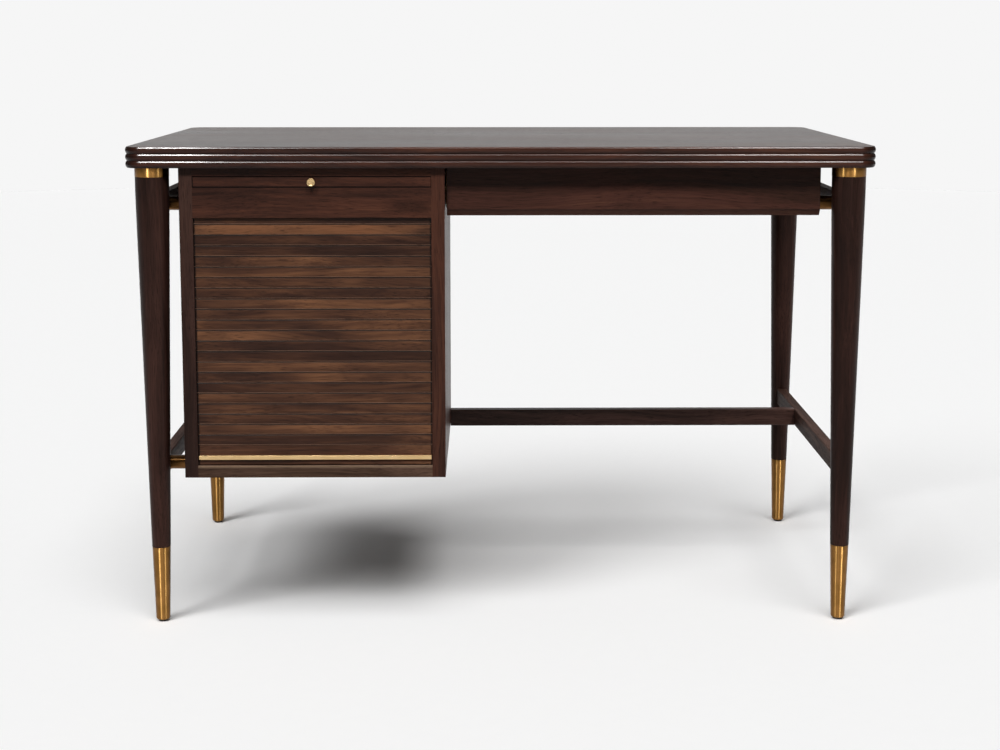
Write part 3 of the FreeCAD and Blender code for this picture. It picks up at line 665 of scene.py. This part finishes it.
walnutFoot = makeWalnut("walnutFoot", "X", {"dark": "433126", "middle": "5d463a",
                                            "light": "7d6350"},
                        # a painted highlight along the board's top front arris
                        lines=[([("Z", 254.2 * mm, 4.5 * mm), boardFront], 0.6, "8c7460")])
walnutLip = makeWalnut("walnutLip", "X", lines=[
    ([("Z", 687.6 * mm, 1.6 * mm), boardFront], 0.9, jointAndShadeDark),
    ([("Z", 703.6 * mm, 1.6 * mm), boardFront], 0.9, jointAndShadeDark),
    ([("X", -469.1 * mm, 2.0 * mm), boardFront], 0.9, jointAndShadeDark)])
walnutFace = makeWalnut("walnutFace", "X", lines=[
    ([("Z", 687.2 * mm, 1.2 * mm), boardFront], 0.8, jointAndShadeDark),
    # a soft darker patch on the rail's face toward its right end
    ([("X", -138 * mm, 48 * mm), ("Z", 657 * mm, 13 * mm), boardFront], 0.5, jointAndShadeDark)])
# the pale arris colour here is the painted highlight on the strips' lower arrises
walnutSlats = makeWalnut("walnutSlats", "X", {"deep": "281812", "dark": "3c261d",
                                              "middle": "583a2a", "light": "83593e",
                                              "stripSpread": 0.09, "sapwood": "7f5237",
                                              "arrisHighlight": "a8826c", "specular": 0.12,
                                              "cloudWidth": 45}, "stripTone", curtainEndShade)
walnutLead = makeWalnut("walnutLead", "X", {"dark": "3d271d", "middle": "55382a",
                                            "light": "745039", "cloudWidth": 70},
                        lines=curtainEndShade + [([("Z", 254.5 * mm, 1.6 * mm)], 0.9, jointAndShadeDark),
                                             ([("Z", 286.1 * mm, 1.0 * mm)], 0.7, jointAndShadeDark)])
mapleX = makeMaple("mapleAcross", "X")
mapleY = makeMaple("mapleDeep", "Y")
brassTurned = makeBrass("brassTurned", axis="Z")
# a darker copy of the brass: painted shade, for the sabots' dark sides
brassSabotShaded = makeBrass("brassSabotShaded", axis="Z", changes={"bright": "916838", "worn": "7e592c"})
# a darker copy of the brass: painted shade, as the spacers sit in shade under the top
brassSpacerShaded = makeBrass("brassSpacerShaded", axis="X", changes={"bright": "7a5530", "worn": "5f4123"})
# a paler copy of the brass: painted light, as the flat bar and the knob face the bright floor
brassBarLit = makeBrass("brassBarLit", "X", changes={"bright": "dcbc8a", "worn": "d2b07e",
                                               "roughness": 0.28, "bump": 0.03})
nylon = makePlain("nylonGlide", nylonFinish)
steel = makePlain("turnedSteel", steelFinish)
canvas = makeCanvas("glueSizedDuck", canvasFinish)
print("materials ready")


# CAD nodes whose shape is right keep it, with a better finish

finishes = {
    walnutZ: ["cabinet_side_right", "cabinet_back"],
    walnutZDark: ["cabinet_side_left"],
    walnutFoot: ["cabinet_bottom"],
    walnutLip: ["slide_lip"],
    walnutFace: ["face_rail"],
    walnutLead: ["tambour_lead_rail"],
    walnutCross: ["cross_rail"],
    walnutDrawer: ["drawer_front"],
    walnutX: ["top_rail", "cabinet_shelf", "writing_slide", "drawer_case_back"],
    walnutY: ["upper_rail_left", "upper_rail_right", "lower_rail_left", "lower_rail_right",
              "drawer_case_side"],
    mapleX: ["slide_bed", "cabinet_liner", "drawer_back", "drawer_bottom"],
    mapleY: ["slide_keepers", "drawer_runners", "drawer_side_left", "drawer_side_right"],
    steel: ["pull_screws"],
    brassTurned: ["shelf_pins"],
}
for material, names in finishes.items():
    for name in names:
        for slot in cadNodes[name].material_slots:
            slot.material = material
print("carried-over nodes painted")


# Top: a bead section swept round the board, then closed above and below

deskTop = {"length": 1143 * mm, "depth": 610 * mm, "thickness": 32 * mm, "corner": 25 * mm,
           "beads": 3, "cornerSteps": 20, "beadSides": 48}


def makeDeskTop(t):
    low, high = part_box("desk_top")
    bead = t["thickness"] / t["beads"]
    radius = bead / math.sqrt(2)                 # each bead is a quarter of a circle
    halfX, halfY = t["length"] / 2, t["depth"] / 2
    straightX, straightY = halfX - t["corner"], halfY - t["corner"]
    deselect()
    bpy.ops.mesh.primitive_circle_add(vertices=t["beadSides"], radius=radius,
                                      location=(-straightX, -halfY + radius, low.z + bead / 2),
                                      rotation=(0, math.pi / 2, 0))
    bpy.ops.object.transform_apply(location=True, rotation=True, scale=True)
    piece = bpy.context.object
    piece.name = "deskTop"
    bpy.ops.object.mode_set(mode="EDIT")
    behind = -halfY + radius - radius / math.sqrt(2) + hair
    pick("VERT", lambda co: co.y > behind)
    bpy.ops.mesh.delete(type="VERT")
    bpy.ops.mesh.select_all(action="SELECT")
    for number in range(1, t["beads"]):
        bpy.ops.mesh.duplicate_move(TRANSFORM_OT_translate={"value": (0, 0, bead)})
    bpy.ops.mesh.select_all(action="SELECT")
    bpy.ops.mesh.remove_doubles(threshold=2 * hair)
    bpy.ops.mesh.select_all(action="SELECT")
    runs = [((2 * straightX, 0, 0), (straightX, -straightY)),
            ((0, 2 * straightY, 0), (straightX, straightY)),
            ((-2 * straightX, 0, 0), (-straightX, straightY)),
            ((0, -2 * straightY, 0), (-straightX, -straightY))]
    for run, corner in runs:
        bpy.ops.mesh.extrude_region_move(TRANSFORM_OT_translate={"value": run})
        bpy.ops.mesh.spin(steps=t["cornerSteps"], angle=math.pi / 2, axis=(0, 0, -1),
                          center=(*corner, low.z))
    bpy.ops.mesh.select_all(action="SELECT")
    bpy.ops.mesh.remove_doubles(threshold=2 * hair)
    for level in (low.z, high.z):
        pick("EDGE", lambda co: abs(co.z - level) < hair)
        bpy.ops.mesh.edge_face_add()
    bpy.ops.mesh.select_all(action="SELECT")
    bpy.ops.mesh.normals_make_consistent(inside=False)
    bpy.ops.object.mode_set(mode="OBJECT")
    finishPiece(piece, "desk", [walnutTop, walnutBeads, walnutUnder], ["desk_top"],
                angle=35)
    for face in piece.data.polygons:     # board above, matt board below, beads between
        face.material_index = (0 if face.normal.z > 0 else 2) if abs(face.normal.z) > 0.999 else 1


makeDeskTop(deskTop)
print("top ready")


# Legs with their brass and glides

leg = {"axisX": 533.5 * mm, "axisY": 273 * mm, "under": 717 * mm,
       "radius": 25.7 * mm, "tip": 14.4 * mm, "taperTop": 672 * mm,
       "blendFoot": 30 * mm, "blendHead": 12 * mm, "blendDip": 0.15 * mm,    # taper to straight
       "tenonFoot": 8.1 * mm, "bore": 9.25 * mm, "shoulder": 0.6 * mm,
       "collarFoot": 702.6 * mm, "collar": 26.0 * mm, "collarEdge": 0.5 * mm,
       "sabotTop": 121 * mm, "mouth": 14.2 * mm, "lip": 0.35 * mm, "foot": 10.9 * mm,
       "toe": 3 * mm, "toeStep": 15, "boreFoot": 8 * mm, "boreGap": 0.05 * mm,
       "glide": 7.5 * mm, "glideHeight": 3 * mm, "glideEdge": 1 * mm}


def makeLegs(g):
    corners = [((side * g["axisX"], end * g["axisY"], 0), (0, 0, 0))
               for side in (-1, 1) for end in (-1, 1)]
    names = [(end, side) for side in ("left", "right") for end in ("front", "rear")]
    blendFoot = g["taperTop"] - g["blendFoot"]
    taper = (g["radius"] - g["tip"]) / (g["taperTop"] - g["sabotTop"])
    wood = addTurned("leg", (0, 0, 0), "Z", [
        (g["tenonFoot"], g["bore"]), (g["sabotTop"], g["bore"]),
        (g["sabotTop"] + 2 * hair, g["tip"] - g["shoulder"]),
        (g["sabotTop"] + g["shoulder"], g["tip"]),
        (blendFoot, g["tip"] + taper * (blendFoot - g["sabotTop"])),
        (g["taperTop"], g["radius"] - g["blendDip"]),
        (g["taperTop"] + g["blendHead"], g["radius"]), (g["collarFoot"], g["radius"])])
    for piece, (end, side) in zip(copyPiece(wood, corners), names):
        piece.name = f"{end}{side.title()}Leg"
        finishPiece(piece, "desk", [walnutLegsShaded], [f"leg_{end}_{side}"])

    collar = addTurned("collar", (0, 0, 0), "Z", [
        *rim(g["collarFoot"], g["collar"], g["collarEdge"], 1),
        *rim(g["under"], g["collar"], g["collarEdge"], -1)[::-1]])
    toe = [(g["glideHeight"] + g["toe"] * (1 - math.cos(math.radians(turn))),
            g["foot"] - g["toe"] * (1 - math.sin(math.radians(turn))))
           for turn in range(0, 91, g["toeStep"])]
    bore = g["bore"] + g["boreGap"]
    sabot = addTurned("sabot", (0, 0, 0), "Z", [
        *toe, (g["sabotTop"] - g["lip"], g["mouth"]), (g["sabotTop"], g["mouth"] - g["lip"]),
        (g["sabotTop"], bore), (g["boreFoot"], bore)])
    glide = addTurned("glide", (0, 0, 0), "Z", [
        *rim(0, g["glide"], g["glideEdge"], 1), (g["glideHeight"], g["glide"])], sides=48)
    for pattern, name, slotName, material, node in (
            (collar, "legCollars", "brass", brassTurned, "leg_collars"),
            (sabot, "legSabots", "brass", brassSabotShaded, "sabots"),
            (glide, "floorGlides", "glide", nylon, "foot_glides")):
        finishPiece(joinPieces(copyPiece(pattern, corners), name), "desk",
                    [material], [node])


makeLegs(leg)
print("legs ready")


# Brass spacers between the rails and the case

spacer = {"radius": 11 * mm, "spigot": 4 * mm, "pin": 8 * mm, "rim": 0.6 * mm,
          "groups": {"spacers_upper_left": "upperLeftSpacers",
                     "spacers_lower_left": "lowerLeftSpacers",
                     "spacers_upper_right": "upperRightSpacers"}}


def makeSpacers(s):
    for node, name in s["groups"].items():
        low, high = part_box(node)
        start, end = low.x + s["pin"], high.x - s["pin"]
        bar = addTurned("bar", (0, 0, 0), "X", [
            (start - s["pin"], s["spigot"]), (start, s["spigot"]),
            (start + hair, s["radius"] - s["rim"]), *rim(start, s["radius"], s["rim"], 1)[1:],
            *rim(end, s["radius"], s["rim"], -1)[:0:-1], (end - hair, s["radius"] - s["rim"]),
            (end, s["spigot"]), (end + s["pin"], s["spigot"])])
        rows = [((0, y, (low.z + high.z) / 2), (0, 0, 0))
                for y in (low.y + s["radius"], high.y - s["radius"])]
        finishPiece(joinPieces(copyPiece(bar, rows), name), "desk", [brassSpacerShaded], [node])


makeSpacers(spacer)
print("spacers ready")


# Tambour: strips on canvas along the track, and the brass pull

tambour = {"pitch": 16.4 * mm, "gap": 0.4 * mm, "thickness": 8 * mm, "arris": 1.1 * mm,
           "tongue": 7.5 * mm, "tongueThickness": 5 * mm, "tongueRelief": 0.5 * mm,
           "bend": 28 * mm, "bendLevel": 643.5 * mm, "leadTop": 286.1 * mm, "count": 25,
           "play": 0.6 * mm, "canvasMargin": 14 * mm, "canvas": 0.6 * mm, "seed": 1004,
           "golden": 20, "goldenTone": 1.5, "lift": 345 * mm,
           "clothStart": 12 * mm, "clothSteps": 12}


def onTrack(t, distance, backY):
    # where a strip's back lies along the canvas, and how far it has turned
    if distance <= t["bendLevel"]:
        return backY, distance, 0.0
    turn = (distance - t["bendLevel"]) / t["bend"]
    bendY = backY + t["bend"]
    if turn < math.pi / 2:
        return (bendY - t["bend"] * math.cos(turn), t["bendLevel"] + t["bend"] * math.sin(turn),
                turn)
    return (bendY + distance - t["bendLevel"] - t["bend"] * math.pi / 2,
            t["bendLevel"] + t["bend"], math.pi / 2)


def makeStrip(t, left, right):
    # one strip, its back at Y 0 and its middle at Z 0: a tongue at each end, rounded front arrises
    half = (t["pitch"] - t["gap"]) / 2
    strip = addBlock("strip", (left, -t["thickness"], -half), (right, 0, half))
    bpy.ops.object.mode_set(mode="EDIT")
    pick("EDGE", lambda co: co.y < hair - t["thickness"] and abs(co.z) > half - hair)
    bpy.ops.mesh.bevel(offset=t["arris"], segments=3, affect="EDGES")
    for end, out in ((left, -1), (right, 1)):
        pick("FACE", lambda co: abs(co.x - end) < hair)
        bpy.ops.mesh.extrude_region_move(TRANSFORM_OT_translate={"value": (0, 0, 0)})
        bpy.ops.transform.resize(value=(1, t["tongueThickness"] / t["thickness"],
                                        1 - t["tongueRelief"] / half),
                                 center_override=(end, -t["thickness"] / 2, 0))
        bpy.ops.mesh.extrude_region_move(
            TRANSFORM_OT_translate={"value": (out * (t["tongue"] + t["play"]), 0, 0)})
    bpy.ops.object.mode_set(mode="OBJECT")
    # -1 on each strip's upper arris and 1 on its lower one, where the painted shade and painted
    # highlight go
    arris = strip.data.attributes.new("arris", "FLOAT", "FACE")
    arris.data.foreach_set("value", [
        (-1.0 if face.normal.z > 0 else 1.0) if face.normal.y < -0.1 and abs(face.normal.z) > 0.2
        else 0.0 for face in strip.data.polygons])
    return strip


def makeTambour(t):
    low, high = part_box("tambour_slats")
    left = low.x + t["tongue"] + t["play"]
    right = high.x - t["tongue"] - t["play"]
    backY = low.y + t["thickness"]
    places = []
    for number in range(t["count"]):
        y, z, turn = onTrack(t, t["leadTop"] + (number + 0.5) * t["pitch"], backY)
        places.append(((0, y, z), (-turn, 0, 0)))
    strips = copyPiece(makeStrip(t, left, right), places)
    chance = random.Random(t["seed"])
    for number, strip in enumerate(strips):
        tone = strip.data.attributes.new("stripTone", "FLOAT", "FACE")
        own = t["goldenTone"] if number == t["golden"] else chance.random()
        tone.data.foreach_set("value", [own] * len(strip.data.polygons))
    strips = joinPieces(strips, "tambourStrips")

    # the canvas: a strip of cloth swept up the backs and round the bend
    foot = t["leadTop"] - t["clothStart"]
    cloth = addBlock("tambourCanvas", (left + t["canvasMargin"], backY, foot),
                     (right - t["canvasMargin"], backY + t["canvas"], t["bendLevel"]))
    bpy.ops.object.mode_set(mode="EDIT")
    pick("FACE", lambda co: co.z > t["bendLevel"] - hair)
    bpy.ops.mesh.spin(steps=t["clothSteps"], angle=math.pi / 2, axis=(-1, 0, 0),
                      center=(0, backY + t["bend"], t["bendLevel"]))
    bpy.ops.object.mode_set(mode="OBJECT")
    finishPiece(cloth, "desk", [canvas], ["tambour_canvas"])
    finishPiece(strips, "desk", [walnutSlats], ["tambour_slats"])
    for piece in (strips, cloth):
        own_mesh(piece)


pull = {"edge": 0.9 * mm, "edgeSteps": 5}


def makePull(p):
    low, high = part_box("tambour_pull")
    piece = addBlock("tambourPull", low, high)
    bpy.ops.object.mode_set(mode="EDIT")
    pick("EDGE", lambda co: co.y < low.y + hair)
    bpy.ops.mesh.bevel(offset=p["edge"], segments=p["edgeSteps"], affect="EDGES")
    bpy.ops.object.mode_set(mode="OBJECT")
    finishPiece(piece, "tambour", [brassBarLit], ["tambour_pull"])


makeTambour(tambour)
makePull(pull)
print("tambour ready")


# Knob of the writing slide

knob = {"pin": 12 * mm,
        "profile": [         # mm out of the slide's face, radius: pin, neck, head, dished face
            (-12, 2), (0, 2), (0.01, 4), (0.8, 3.4), (5, 3.4), (6.2, 4.1), (7, 5.5), (7.25, 6.05),
            (7.8, 6.3), (10.7, 6.3), (11.25, 6.05), (11.5, 5.5), (11.5, 4.6), (11.15, 4.1),
            (10.9, 3.1), (10.85, 0.4)]}


def makeKnob(k):
    low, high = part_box("slide_knob")
    face = ((low.x + high.x) / 2, high.y - k["pin"], (low.z + high.z) / 2)
    piece = addTurned("slideKnob", face, "Y",
                      [(-level * mm, radius * mm) for level, radius in k["profile"]], sides=48)
    finishPiece(piece, "slide", [brassBarLit], ["slide_knob"])


makeKnob(knob)
print("knob ready")


# Strip lamps and the lamps' links, now that the pieces are there

def leaveOut(name, pieces):
    # a set for a lamp: everything but these pieces
    others = bpy.data.collections.new(name)
    for piece in pieces:
        others.objects.link(bpy.data.objects[piece])
    for entry in others.collection_objects:
        entry.light_linking.link_state = "EXCLUDE"
    return others


def linkSuns(suns):
    for sun in suns:
        links = bpy.data.objects[sun["name"]].light_linking
        if "past" in sun:
            links.blocker_collection = leaveOut(sun["name"] + "Past", sun["past"])
        if "misses" in sun:
            links.receiver_collection = leaveOut(sun["name"] + "Misses",
                                                 ["studioFloor", *sun["misses"]])


def makeStrips(lamps):
    for strip in lamps:
        data = bpy.data.lights.new(strip["name"], "AREA")
        data.shape = "RECTANGLE"
        data.size, data.size_y = strip["size"]
        data.energy = strip["power"]
        data.color = strip["colour"]
        lamp = bpy.data.objects.new(strip["name"], data)
        lamp.location = strip["place"]
        aim = Vector(strip["aim"]) - Vector(strip["place"])
        lamp.rotation_euler = aim.to_track_quat("-Z", "Y").to_euler()
        lamp.visible_camera = False
        lamp.visible_diffuse = False
        bpy.context.scene.collection.objects.link(lamp)
        receivers = bpy.data.collections.new(strip["name"])
        for name in strip["on"]:
            receivers.objects.link(bpy.data.objects[name])
        lamp.light_linking.receiver_collection = receivers


makeStrips(strips)
linkSuns(studio["suns"])
print("strip lamps ready")
